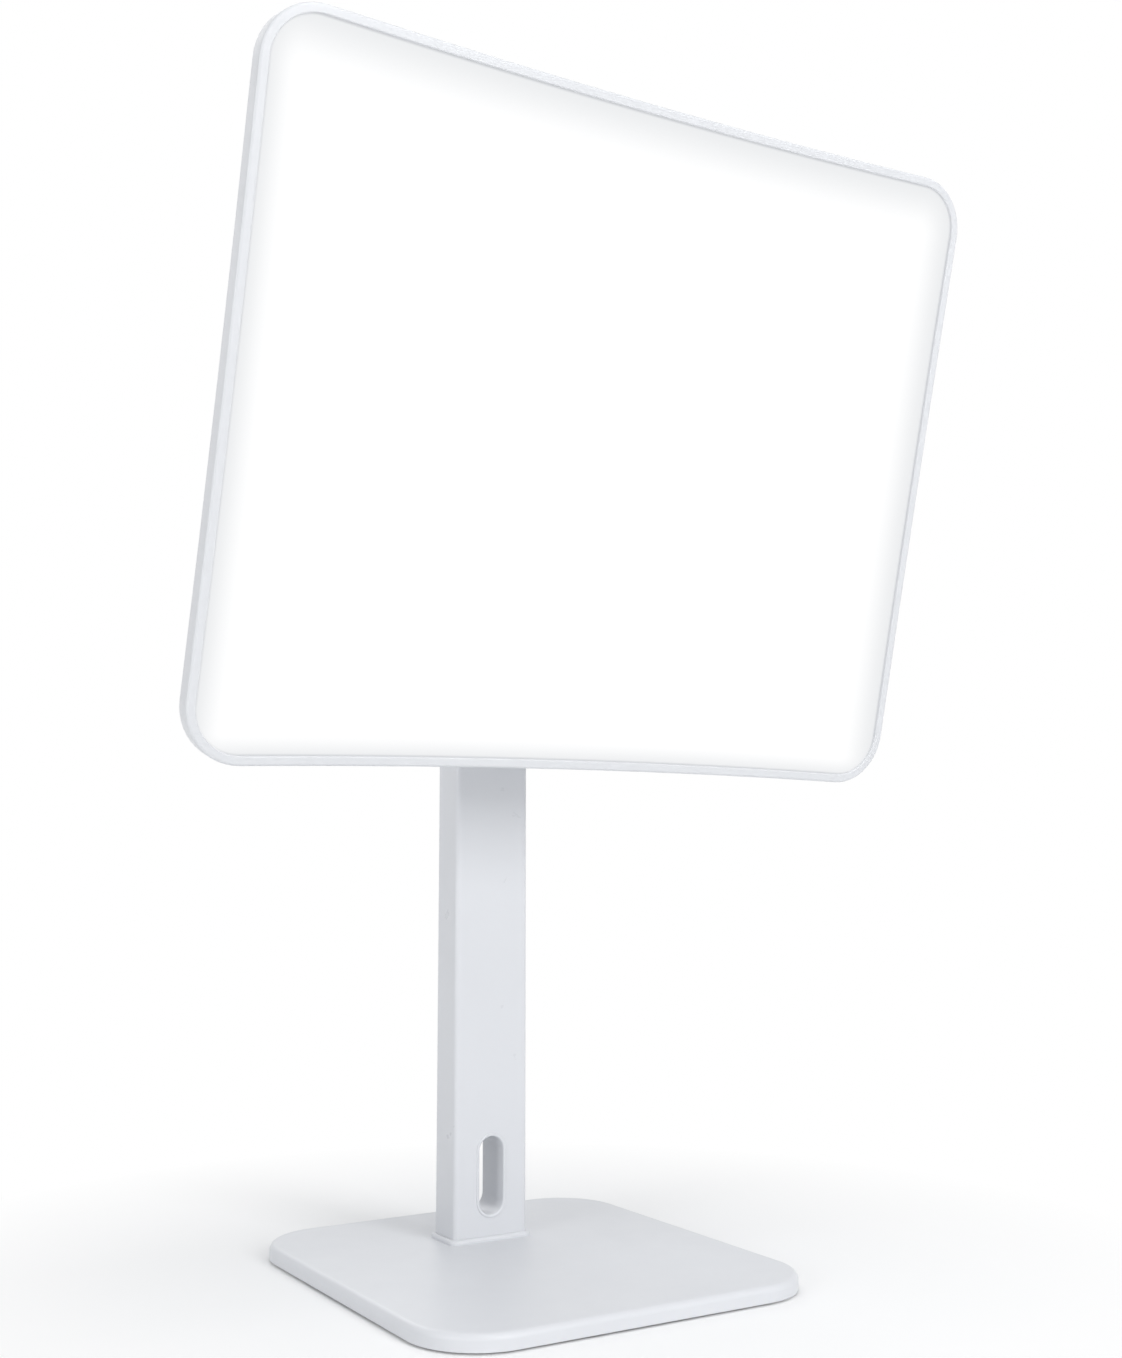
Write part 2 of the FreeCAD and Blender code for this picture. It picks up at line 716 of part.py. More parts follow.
def hinge_hardware(prefix, place):
    """One friction hinge: axle, friction washers, spring washers, lock nut and two caps."""
    half = "column_width / 2"
    floor = half + " - well_deep"
    end = floor + " + 2 * spring_thick + nut_thick"
    turned(prefix + "_axle", (
        ("-(%s) - axle_head" % floor, "0"),
        ("-(%s) - axle_head" % floor, "well_round - 1"),
        ("-(%s)" % floor, "well_round - 1"),
        ("-(%s)" % floor, "axle_round"),
        (end, "axle_round"),
        (end, "0"),
    ), place)
    inner = "axle_round + bore_gap"
    for name, side in (("right", ""), ("left", "-")):
        turned("%s_friction_washer_%s" % (prefix, name), (
            (side + "(fork_gap / 2)", inner),
            (side + "(fork_gap / 2)", "washer_round"),
            (side + "(fork_gap / 2 - washer_thick)", "washer_round"),
            (side + "(fork_gap / 2 - washer_thick)", inner),
        ), place)
    turned(prefix + "_spring_washers", (
        (floor, inner),
        (floor, "well_round - 1.4"),
        (floor + " + 2 * spring_thick", "well_round - 1.4"),
        (floor + " + 2 * spring_thick", inner),
    ), place)
    nut = new_body(prefix + "_lock_nut", place)
    outline = new_sketch(nut, "outline", floor + " + 2 * spring_thick", role="YZ_Plane")
    hexagon(outline, size("nut_across") / 2)
    pad(nut, outline, "nut_thick")
    hole = new_sketch(nut, "hole", floor + " + 2 * spring_thick", role="YZ_Plane")
    circles(hole, inner)
    pocket(nut, hole, "nut_thick", up=True)
    for name, side in (("right", ""), ("left", "-")):
        turned("%s_cap_%s" % (prefix, name), (
            ("%s(%s - cap_thick)" % (side, half), "0"),
            ("%s(%s - cap_thick)" % (side, half), "well_round - 0.1"),
            ("%s(%s)" % (side, half), "well_round - 0.1"),
            ("%s(%s + cap_proud)" % (side, half), "well_round - 1.2"),
            ("%s(%s + cap_proud)" % (side, half), "0"),
        ), place)


def hexagon(sketch, inner_round):
    outer = inner_round / math.cos(math.pi / 6)
    points = [
        Vector(outer * math.cos(math.pi / 3 * k), outer * math.sin(math.pi / 3 * k), 0)
        for k in range(7)
    ]
    for start, following in zip(points, points[1:]):
        sketch.addGeometry(Part.LineSegment(start, following))


def arm():
    """The swing arm: its own Y axis runs from the shoulder axle to the head axle."""
    body = new_body("arm", ARM)
    wide = "fork_gap - 2 * washer_thick - 2 * side_gap"
    bar = new_sketch(body, "bar", role="YZ_Plane")
    polygon(bar, (
        ("0", "-arm_thick / 2"),
        (ARM_LONG, "-arm_thick / 2"),
        (ARM_LONG, "arm_thick / 2"),
        ("0", "arm_thick / 2"),
    ))
    shaft = pad(body, bar, wide, middle=True)
    round_edges(body, shaft, "arm_edge", lambda edge: edge.BoundBox.YLength > 50)
    knuckles = new_sketch(body, "knuckles", role="YZ_Plane")
    circles(knuckles, "knuckle_round", (("0", "0"), (ARM_LONG, "0")))
    pad(body, knuckles, wide, middle=True)
    holes = new_sketch(body, "holes", role="YZ_Plane")
    circles(holes, "axle_round + bore_gap + bush_wall + 0.05", (("0", "0"), (ARM_LONG, "0")))
    pocket(body, holes, "2 * fork_gap", middle=True)
    channel_tall = "(%s) - 2 * channel_end" % ARM_LONG
    channel = new_sketch(body, "channel", "-arm_thick / 2", up="(%s) / 2" % ARM_LONG)
    rounded_rectangle(channel, "channel_width", channel_tall, "channel_corner")
    pocket(body, channel, "channel_deep", up=True)

    cover = new_body("arm_cover", ARM)
    outline = new_sketch(cover, "outline", "-arm_thick / 2", up="(%s) / 2" % ARM_LONG)
    rounded_rectangle(outline, "channel_width - 2 * cover_gap", channel_tall + " - 2 * cover_gap",
                      "channel_corner - cover_gap")
    pad(cover, outline, "arm_cover_thick")
    ribs = new_sketch(cover, "rib", "-arm_thick / 2 + arm_cover_thick", up="(%s) / 2" % ARM_LONG)
    rounded_rectangle(ribs, "channel_width - 2 * arm_rib_inset", "arm_rib_long", "arm_rib_corner")
    pad(cover, ribs, "channel_deep - arm_cover_thick")

    for name, along in (("shoulder", "0"), ("head", ARM_LONG)):
        place = ARM.multiply(Placement(Vector(0, number(along) if along != "0" else 0, 0), Rotation()))
        half = "(%s) / 2" % wide
        turned("arm_bush_" + name, (
            ("-" + half, "axle_round + bore_gap"),
            ("-" + half, "axle_round + bore_gap + bush_wall"),
            (half, "axle_round + bore_gap + bush_wall"),
            (half, "axle_round + bore_gap"),
        ), place)


def outline_plate(label, inset, top, thick):
    """A flat layer of the panel with the panel's own outline, downwards from a depth."""
    body = new_body(label, PANEL)
    outline = new_sketch(body, "outline", top)
    bowed_outline(outline, inset)
    feature = pad(body, outline, thick, down=True)
    return body, feature


def bezel():
    body, frame = outline_plate("panel_bezel", "0", "0", "bezel_deep")
    rim = round_edges(body, frame, "bezel_edge", at_height(0))
    well = new_sketch(body, "well", "-diffuser_set")
    bowed_outline(well, "bezel_wall")
    pocket(body, well, "bezel_deep")
    window = new_sketch(body, "window")
    bowed_outline(window, "bezel_face")
    cut = pocket(body, window, "bezel_deep")
    middle = (size("bezel_face") + size("bezel_edge")) / 2
    round_edges(body, cut, "bezel_lip", lambda edge: at_height(0)(edge) and inset_of(edge) > middle)


def panel_layers():
    """The opal diffuser, light guide, reflector and tray, from the front to the back."""
    guide_top = "-diffuser_set - diffuser_thick - layer_gap"
    sheet_top = guide_top + " - guide_thick - layer_gap"
    outline_plate("panel_diffuser", "bezel_wall + 0.3", "-diffuser_set", "diffuser_thick")
    outline_plate("panel_light_guide", "guide_inset", guide_top, "guide_thick")
    outline_plate("panel_reflector", "guide_inset - 1", sheet_top, "sheet_thick")
    tray, plate = outline_plate("panel_tray", "bezel_wall + 0.3", TRAY_TOP, "tray_thick")
    bosses = new_sketch(tray, "bosses", TRAY_TOP + " - tray_thick")
    circles(bosses, "boss_round", COVER_SCREWS)
    pad(tray, bosses, "back_deep - back_wall + (%s) - tray_thick" % TRAY_TOP, down=True)
    holes = new_sketch(tray, "screw_holes", "-back_deep")
    circles(holes, "cover_screw + 0.05", COVER_SCREWS)
    pocket(tray, holes, "back_deep + (%s)" % TRAY_TOP, up=True)


TRAY_TOP = "-diffuser_set - diffuser_thick - 2 * layer_gap - guide_thick - sheet_thick"
COVER_SCREWS = tuple(
    (side + right, end + "(panel_tall / 2 - bow_long - cover_screw_inset)")
    for side in ("-", "")
    for end in ("-", "")
    for right in ("(panel_width / 2 - bow_side - cover_screw_inset)", "(panel_width / 6)")
)


def led_strips():
    """A narrow board with a row of LEDs at each short side, shining into the light guide."""
    board_long, board_wide = size("led_board_long"), size("led_board_wide")
    inner = size("panel_width") / 2 - size("bow_side") - size("bezel_wall") - 0.4
    top = -size("diffuser_set") - size("diffuser_thick") - 0.1
    thick, led_thick = size("led_board_thick"), size("led_thick")
    led_long, led_wide = size("led_long"), size("led_wide")
    count = int(size("led_count"))
    step = (board_long - 4 * led_long) / (count - 1)
    for name, side in (("right", 1), ("left", -1)):
        board_x = side * (inner - thick / 2)
        board = Part.makeBox(thick, board_long, board_wide,
                             Vector(board_x - thick / 2, -board_long / 2, top - board_wide))
        group("panel_led_board_" + name, [board], PANEL)
        led_x = side * (inner - thick - led_thick / 2)
        low = top - board_wide / 2 - led_wide / 2
        leds = []
        for index in range(count):
            y = -step * (count - 1) / 2 + step * index - led_long / 2
            leds.append(Part.makeBox(led_thick, led_long, led_wide,
                                     Vector(led_x - led_thick / 2, y, low)))
        group("panel_leds_" + name, leds, PANEL)


def back_cover():
    body = new_body("panel_back_cover", PANEL)
    tray_back = "(%s) - tray_thick" % TRAY_TOP
    rim = new_sketch(body, "rim", tray_back)
    bowed_outline(rim, "bezel_wall + 0.3")
    pad(body, rim, "back_rim", down=True)
    slope_top = new_sketch(body, "slope_top", tray_back + " - back_rim")
    bowed_outline(slope_top, "bezel_wall + 0.8")
    slope_end = new_sketch(body, "slope_end", "-back_deep")
    bowed_outline(slope_end, "back_slope")
    loft(body, "AdditiveLoft", slope_top, slope_end)
    bulge_top = new_sketch(body, "bulge_top", "-back_deep")
    rounded_rectangle(bulge_top, "bulge_width", "bulge_tall", "bulge_corner")
    bulge_end = new_sketch(body, "bulge_end", "-bulge_deep")
    rounded_rectangle(bulge_end, "bulge_width - 2 * bulge_slope", "bulge_tall - 2 * bulge_slope",
                      "bulge_corner - bulge_slope")
    loft(body, "AdditiveLoft", bulge_top, bulge_end)
    round_edges(body, body.Tip, "back_edge", at_height(-size("bulge_deep")))
    hollow_top = new_sketch(body, "hollow_top", tray_back)
    bowed_outline(hollow_top, "bezel_wall + 2 * back_wall")
    hollow_end = new_sketch(body, "hollow_end", "-back_deep + back_wall")
    bowed_outline(hollow_end, "back_slope + back_wall / 2")
    loft(body, "SubtractiveLoft", hollow_top, hollow_end)
    room_top = new_sketch(body, "room_top", "-back_deep + back_wall")
    rounded_rectangle(room_top, "bulge_width - 2 * back_wall - 2", "bulge_tall - 2 * back_wall - 2",
                      "bulge_corner - back_wall")
    room_end = new_sketch(body, "room_end", "-bulge_deep + back_wall")
    rounded_rectangle(room_end, "bulge_width - 2 * back_wall - 2 * bulge_slope",
                      "bulge_tall - 2 * back_wall - 2 * bulge_slope",
                      "bulge_corner - back_wall - bulge_slope")
    loft(body, "SubtractiveLoft", room_top, room_end)
    posts = new_sketch(body, "posts", "-bulge_deep + back_wall", "board_x", "board_y")
    circles(posts, "post_round", BOARD_HOLES)
    pad(body, posts, "bulge_deep - back_wall - board_deep - board_thick")
    post_holes = new_sketch(body, "post_holes", "-board_deep - board_thick", "board_x", "board_y")
    circles(post_holes, "board_screw + 0.05", BOARD_HOLES)
    pocket(body, post_holes, "board_screw_long - board_thick")
    cover_holes = new_sketch(body, "cover_holes", "-back_deep + back_wall")
    circles(cover_holes, "cover_screw + 0.1", COVER_SCREWS)
    cut = pocket(body, cover_holes, "2 * back_wall")
    round_edges(body, cut, "cover_screw_head - cover_screw + 0.1",
                lambda e: is_hole_rim(e, -size("back_deep")), "Chamfer")
    bosses = new_sketch(body, "bracket_bosses", "-bulge_deep + back_wall")
    circles(bosses, "bracket_screw + 2.2", BRACKET_SCREWS)
    pad(body, bosses, "boss_tall")
    bracket_holes = new_sketch(body, "bracket_holes", "-bulge_deep")
    circles(bracket_holes, "bracket_screw + 0.05", BRACKET_SCREWS)
    pocket(body, bracket_holes, "bracket_screw_long - bracket_plate + 0.5", up=True)
    key_posts = new_sketch(body, "key_posts", "-bulge_deep + back_wall", "button_x", "button_y")
    corner = "tact_board / 2 - tact_post - 0.3"
    circles(key_posts, "tact_post", tuple(
        (side + "(" + corner + ")", end + "(" + corner + ")") for side in ("-", "") for end in ("-", "")))
    pad(body, key_posts, "tact_drop - back_wall")
    rocker_hole = new_sketch(body, "rocker_hole", "-bulge_deep + back_wall", "rocker_x", "rocker_y")
    rounded_rectangle(rocker_hole, HOUSING_WIDE + " + 0.2", HOUSING_LONG + " + 0.2",
                      "housing_corner + 0.1")
    pocket(body, rocker_hole, "2 * back_wall")
    button_hole = new_sketch(body, "button_hole", "-bulge_deep + back_wall")
    circles(button_hole, "button_round + button_gap", (("button_x", "button_y"),))
    pocket(body, button_hole, "2 * back_wall")
    inlet_hole = new_sketch(body, "inlet_hole", "-bulge_deep + back_wall")
    circles(inlet_hole, "inlet_round + 0.1", (("inlet_x", "inlet_y"),))
    pocket(body, inlet_hole, "2 * back_wall")
    vents(body)


BOARD_HOLES = tuple(
    (side + "(board_width / 2 - board_hole_inset)", end + "(board_tall / 2 - board_hole_inset)")
    for side in ("-", "") for end in ("-", ""))
BRACKET_SCREWS = tuple(
    (side + "bracket_screw_x", end + "bracket_screw_y") for side in ("-", "") for end in ("-", ""))
HOUSING_WIDE = "(rocker_width + 2 * rocker_gap + 2 * housing_wall)"
HOUSING_LONG = "(2 * (rocker_long + rocker_gap + housing_wall))"


def vents(body):
    """Upright cooling slots above the hinge bracket, side by side."""
    for index in range(int(size("vent_count"))):
        offset = "(%d - (vent_count - 1) / 2) * vent_step" % index
        slot = new_sketch(body, "vent_%d" % (index + 1), "-bulge_deep + back_wall", offset, "vent_y")
        stadium(slot, "vent_width", "vent_tall")
        pocket(body, slot, "2 * back_wall")


def cover_screws():
    """Screws that hold the back cover on the tray's bosses."""
    length = size("back_deep") + number(TRAY_TOP) - 0.3
    one = screw(size("cover_screw"), size("cover_screw_head"), length,
                size("cover_screw_head") - size("cover_screw"))
    shapes = []
    for right, up in COVER_SCREWS:
        copy = one.copy()
        copy.translate(Vector(number(right), number(up), -size("back_deep")))
        shapes.append(copy)
    group("panel_cover_screws", shapes, PANEL)


def driver_board():
    place = PANEL.multiply(
        Placement(Vector(size("board_x"), size("board_y"), -size("board_deep")), Rotation()))
    body = new_body("driver_board", place)
    outline = new_sketch(body, "outline")
    rounded_rectangle(outline, "board_width", "board_tall", "board_corner")
    pad(body, outline, "board_thick", down=True)
    holes = new_sketch(body, "holes")
    circles(holes, "board_screw + 0.1", BOARD_HOLES)
    pocket(body, holes, "board_thick")
    shapes = []
    for name in ("coil", "chip", "socket"):
        wide, deep, tall = (size(name + end) for end in ("_wide", "_deep", "_tall"))
        corner = Vector(size(name + "_x") - wide / 2, size(name + "_y") - deep / 2, 0)
        shapes.append(Part.makeBox(wide, deep, tall, corner))
    for x in (-size("can_step"), 0):
        foot = Vector(x, size("can_y"), 0)
        shapes.append(Part.makeCylinder(size("can_round"), size("can_tall"), foot))
    group("driver_components", shapes, place)
    heads = []
    for right, up in BOARD_HOLES:
        copy = Part.makeCylinder(size("board_screw"), size("board_screw_long") - 0.2,
                                 Vector(0, 0, -size("board_screw_long") + 0.2))
        head = Part.makeCylinder(size("board_screw_head"), size("board_head_tall"))
        copy = copy.fuse(head).removeSplitter()
        copy.translate(Vector(number(right), number(up), 0))
        heads.append(copy)
    group("driver_screws", heads, place)


def hinge_bracket():
    """The fork behind the panel, screwed to the back cover and pinned to the arm."""
    body = new_body("hinge_bracket", PANEL)
    plate = new_sketch(body, "plate", "-bulge_deep")
    rounded_rectangle(plate, "bracket_width", "bracket_tall", "bracket_corner")
    pad(body, plate, "bracket_plate", down=True)
    cheeks = new_sketch(body, "cheeks", role="YZ_Plane")
    polygon(cheeks, (
        ("-fork_round", "-bulge_deep - bracket_plate / 2"),
        ("fork_round", "-bulge_deep - bracket_plate / 2"),
        ("fork_round", "-hinge_deep"),
        ("-fork_round", "-hinge_deep"),
    ))
    pad(body, cheeks, "column_width", middle=True)
    ends = new_sketch(body, "ends", up="-hinge_deep", role="YZ_Plane")
    circles(ends, "fork_round")
    pad(body, ends, "column_width", middle=True)
    gap = new_sketch(body, "gap", role="XZ_Plane")
    polygon(gap, (
        ("-fork_gap / 2", "-bulge_deep - bracket_plate"),
        ("fork_gap / 2", "-bulge_deep - bracket_plate"),
        ("fork_gap / 2", "-hinge_deep - 2 * fork_round"),
        ("-fork_gap / 2", "-hinge_deep - 2 * fork_round"),
    ))
    pocket(body, gap, "4 * fork_round", middle=True)
    fork_bores(body, "-hinge_deep")
    holes = new_sketch(body, "screw_holes", "-bulge_deep")
    circles(holes, "bracket_screw + 0.1", BRACKET_SCREWS)
    cut = pocket(body, holes, "bracket_plate")
    round_edges(body, cut, "bracket_screw_head - bracket_screw + 0.1",
                lambda e: is_hole_rim(e, -size("bulge_deep") - size("bracket_plate")), "Chamfer")

    one = screw(size("bracket_screw"), size("bracket_screw_head"), size("bracket_screw_long"),
                size("bracket_screw_head") - size("bracket_screw"))
    shapes = []
    for right, up in BRACKET_SCREWS:
        copy = one.copy()
        copy.translate(Vector(number(right), number(up), -size("bulge_deep") - size("bracket_plate")))
        shapes.append(copy)
    group("hinge_bracket_screws", shapes, PANEL)


def outward(x, y, turn):
    """A place on the back cover's outer face, turned so that one local axis points away from it."""
    return PANEL.multiply(Placement(Vector(size(x), size(y), -size("bulge_deep")), turn))


def rocker_switch():
    face = outward("rocker_x", "rocker_y", Rotation(X_AXIS, 180))
    housing = new_body("switch_housing", face)
    flange = new_sketch(housing, "flange")
    rounded_rectangle(flange, HOUSING_WIDE + " + 2 * housing_flange",
                      HOUSING_LONG + " + 2 * housing_flange", "flange_corner")
    rim = pad(housing, flange, "flange_thick")
    round_edges(housing, rim, "flange_edge", at_height(size("flange_thick")))
    box = new_sketch(housing, "box")
    rounded_rectangle(box, HOUSING_WIDE, HOUSING_LONG, "housing_corner")
    pad(housing, box, "housing_deep", down=True)
    well = new_sketch(housing, "well", "flange_thick")
    rounded_rectangle(well, "rocker_width + 2 * rocker_gap", "2 * (rocker_long + rocker_gap)",
                      "well_corner")
    pocket(housing, well, "flange_thick + housing_deep - housing_floor")
    pins = new_sketch(housing, "pins", up="-rocker_pivot", role="YZ_Plane")
    circles(pins, "rocker_pin + bore_gap")
    pocket(housing, pins, HOUSING_WIDE, middle=True)

    pivot = face.multiply(Placement(Vector(0, 0, -size("rocker_pivot")),
                                    Rotation(X_AXIS, size("rocker_tip"))))
    rocker = new_body("switch_rocker", pivot)
    disc = new_sketch(rocker, "disc", role="YZ_Plane")
    circles(disc, "rocker_long")
    pad(rocker, disc, "rocker_width", middle=True)
    for name, inner, outer in (("top", "rocker_above", "2 * rocker_long"),
                               ("bottom", "-rocker_below", "-2 * rocker_long")):
        sketch = new_sketch(rocker, name, role="YZ_Plane")
        polygon(sketch, (
            ("-2 * rocker_long", inner),
            ("2 * rocker_long", inner),
            ("2 * rocker_long", outer),
            ("-2 * rocker_long", outer),
        ))
        cut = pocket(rocker, sketch, "2 * rocker_width", middle=True)
        if name == "top":
            round_edges(rocker, cut, "rocker_edge", at_height(size("rocker_above")))
    axle = new_sketch(rocker, "axle", role="YZ_Plane")
    circles(axle, "rocker_pin")
    pad(rocker, axle, "rocker_width + 2 * rocker_gap + 2 * housing_wall - 0.4", middle=True)


def brightness_button():
    """A sprung push button held by its collar, over a small switch on its own board."""
    place = outward("button_x", "button_y", Rotation(Y_AXIS, 90))
    turned("brightness_button", (
        ("-back_wall - 0.3 - button_collar", "0"),
        ("-back_wall - 0.3 - button_collar", "button_round + button_collar"),
        ("-back_wall - 0.3", "button_round + button_collar"),
        ("-back_wall - 0.3", "button_round"),
        ("button_above - 0.5", "button_round"),
        ("button_above", "button_round - 0.6"),
        ("button_above - 0.4", "button_round - 2.4"),
        ("button_above - 0.6", "0"),
    ), place)
    flat = outward("button_x", "button_y", Rotation(X_AXIS, 180))
    board = new_body("button_board", flat)
    outline = new_sketch(board, "outline", "-tact_drop")
    rounded_rectangle(outline, "tact_board", "tact_board", "1")
    pad(board, outline, "tact_board_thick", down=True)
    key = new_body("button_switch", flat)
    outline = new_sketch(key, "outline", "-tact_drop")
    rounded_rectangle(outline, "tact_square", "tact_square", "0.5")
    pad(key, outline, TACT_TALL + " - 0.8")
    stem = new_sketch(key, "stem", "-tact_drop")
    circles(stem, "tact_square / 4")
    pad(key, stem, TACT_TALL)


TACT_TALL = "(tact_drop - back_wall - 0.3 - button_collar - button_travel - 0.3)"


def dc_inlet():
    place = outward("inlet_x", "inlet_y", Rotation(Y_AXIS, 90))
    turned("dc_inlet_socket", (
        ("-inlet_deep", "0"),
        ("-inlet_deep", "inlet_round"),
        ("0", "inlet_round"),
        ("0", "inlet_flange"),
        ("flange_thick", "inlet_flange - 0.5"),
        ("flange_thick", "inlet_bore"),
        ("-inlet_deep + inlet_floor", "inlet_bore"),
        ("-inlet_deep + inlet_floor", "0"),
    ), place)
    turned("dc_inlet_pin", (
        ("-inlet_deep + inlet_floor", "0"),
        ("-inlet_deep + inlet_floor", "inlet_pin"),
        ("-0.6", "inlet_pin"),
        ("-0.2", "inlet_pin * 0.6"),
        ("-0.2", "0"),
    ), place)


def write_all():
    doc.recompute()
    faults = [item.Label for item in doc.Objects if {"Invalid", "Error"} & set(item.State)]
    for node in NODES:
        shape = node.Shape
        if shape.isNull() or not shape.isValid() or not shape.Solids:
            faults.append(node.Label)
    if faults:
        raise RuntimeError("faulty objects: " + ", ".join(sorted(set(faults))))
    os.makedirs("parts", exist_ok=True)
    for node in NODES:
        node.Shape.exportStep("parts/%s.step" % node.Label)
        box = node.Shape.BoundBox
        print("%-30s %2d solid  %10.1f mm3  z %.1f to %.1f" % (
            node.Label, len(node.Shape.Solids), node.Shape.Volume, box.ZMin, box.ZMax))


base_shell()
base_layers()
column()
column_foot()
slot_liner()
column_fork()
fork_screws()
hinge_hardware("shoulder", SHOULDER)
arm()
hinge_hardware("head", HEAD)
hinge_bracket()
bezel()
panel_layers()
led_strips()
back_cover()
cover_screws()
driver_board()
rocker_switch()
brightness_button()
dc_inlet()
write_all()
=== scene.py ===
import json
import math

import bmesh
import bpy
from mathutils import Matrix, Vector


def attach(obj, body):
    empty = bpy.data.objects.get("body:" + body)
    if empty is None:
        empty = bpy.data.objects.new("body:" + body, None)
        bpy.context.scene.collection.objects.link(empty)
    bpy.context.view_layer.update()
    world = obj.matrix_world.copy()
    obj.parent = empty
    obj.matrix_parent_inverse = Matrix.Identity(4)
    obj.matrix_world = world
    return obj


# Light therapy lamp: finishes, small visible details, studio and camera. Every length is in metres.

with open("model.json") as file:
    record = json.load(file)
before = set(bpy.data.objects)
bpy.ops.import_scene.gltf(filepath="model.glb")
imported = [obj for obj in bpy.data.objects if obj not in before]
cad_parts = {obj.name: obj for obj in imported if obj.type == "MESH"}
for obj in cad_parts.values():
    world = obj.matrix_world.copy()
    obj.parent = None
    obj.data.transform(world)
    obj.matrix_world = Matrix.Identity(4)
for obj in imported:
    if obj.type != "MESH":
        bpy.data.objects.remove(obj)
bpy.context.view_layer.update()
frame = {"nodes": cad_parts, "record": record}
nodes = frame["nodes"]
slots = {part["node"]: part["material_slot"] for part in frame["record"]["subparts"]}

MM = 0.001

# The panel's own plane: its lean, the centre of its front face and its outer size. Its long and short
# sides bow inward, the bezel's face has its own width, and the back cover lies behind the front face.
PANEL_LEAN = math.radians(14.7)
PANEL_CENTRE = Vector((0.0, -86.4, 403.8)) * MM
PANEL_RIGHT = Vector((1.0, 0.0, 0.0))
PANEL_UP = Vector((0.0, -math.sin(PANEL_LEAN), math.cos(PANEL_LEAN)))
PANEL_WIDE = 400.0 * MM
PANEL_TALL = 330.5 * MM
PANEL_CORNER = 27.0 * MM
BOW_LONG = 3.8 * MM
BOW_SIDE = 1.0 * MM
BEZEL_FACE = 4.6 * MM
BULGE_DEEP = 22.0 * MM

# The rocker and the button behind the panel, placed right and up of the panel's centre.
ROCKER_PLACE = (-82.0 * MM, 22.0 * MM)
ROCKER_PIVOT = 2.2 * MM
ROCKER_ABOVE = 3.2 * MM
ROCKER_TIP = math.radians(8.0)
BUTTON_PLACE = (-82.0 * MM, -22.0 * MM)
BUTTON_DISH = 1.2 * MM

# The thin raised marks on them. The bar is a disc drawn apart, whose points within a small share of its
# radius stay in the middle. A ring has an inner and an outer radius.
MARK_STEP = 4.6 * MM
MARK_TALL = 0.2 * MM
MARK_SUNK = 0.08 * MM
BAR_HALF_LONG = 1.5 * MM
BAR_HALF_WIDE = 0.3 * MM
BAR_END_SIDES = 24
BAR_MIDDLE = 0.01
ROCKER_RING = (1.0 * MM, 1.5 * MM)
BUTTON_RING = (0.9 * MM, 1.3 * MM)
RING_SIDES = 40

# The lit diffuser, with painted shade: how far it darkens in from each edge, where the housing's inner
# walls show darker through it (widest at the top and right), how dark it starts there, and the painted
# thin shadow that the bezel's lip throws on it.
FADE_RIGHT = 24.0 * MM
FADE_LEFT = 15.0 * MM
FADE_TOP = 26.0 * MM
FADE_BOTTOM = 11.0 * MM
FADE_UNDER = 3.0 * MM
EDGE_SHADE_TINT = (0.80, 0.81, 0.82)
LIP_DIM = (0.72, 0.73, 0.75)
LIP_UNDER = 0.3 * MM
LIP_OVER = 1.3 * MM
OPAL_BODY = (0.05, 0.051, 0.053)
OPAL_GLOW = 0.95

# The camera, as fitted to the photograph's outlines.
CAMERA_PLACE = Vector((-427.0, -724.5, 209.7)) * MM
CAMERA_YAW = math.radians(31.23)
CAMERA_PITCH = math.radians(7.53)
PHOTO_WIDE, PHOTO_TALL = 1122.0, 1358.0
FOCAL_PIXELS = 1618.8
CENTRE_X, CENTRE_Y = 545.7, 633.5
SENSOR_WIDE = 36.0
CLIP_NEAR, CLIP_FAR = 0.01, 20.0

# The floor fades to the background's white between two distances from the origin.
FLOOR_RADIUS = 6.0
FLOOR_SIDES = 96
FLOOR_NEAR, FLOOR_FAR = 0.10, 0.36
FLOOR_DARK = (0.955, 0.955, 0.955)
FLOOR_LIGHT = (0.965, 0.965, 0.965)
ROOM_LIGHT = (0.95, 0.97, 1.0)
ROOM_LEVEL = 0.50

# The studio's lights: where each stands, where it points, its width and height, and its watts.
STUDIO = {
    "front": ((0.45, -2.3, 1.15), (0.0, 0.0, 0.18), 0.8, 1.3, 25.5),
    "left": ((-2.3, -0.8, 0.7), (0.0, 0.0, 0.15), 0.8, 0.8, 12.0),
    "top": ((0.1, -0.9, 2.3), (0.0, 0.0, 0.1), 0.9, 0.9, 9.0),
    "back": ((0.2, 1.9, 1.5), (0.0, 0.0, 0.3), 1.6, 1.0, 9.0),
}

# Colours of the finishes.
WHITE = (1.0, 1.0, 1.0)
PALE = (0.690, 0.702, 0.728)
RIM = (0.680, 0.690, 0.710)
CAST = (0.640, 0.652, 0.680)
BLACK = (0.03, 0.03, 0.033)
RUBBER_DARK = (0.035, 0.035, 0.038)
RUBBER_LIGHT = (0.055, 0.055, 0.058)
ACRYLIC_TINT = (0.93, 0.96, 0.97)
MASK_DARK = (0.020, 0.085, 0.040)
MASK_LIGHT = (0.026, 0.105, 0.050)
TRACK_GREEN = (0.045, 0.160, 0.075)

# Brushed metal: its grain is drawn out along X.
BRUSHED = dict(grain=260.0, depth=0.01 * MM, variation=0.04, metallic=1.0, stretch=(1.0, 40.0, 40.0))

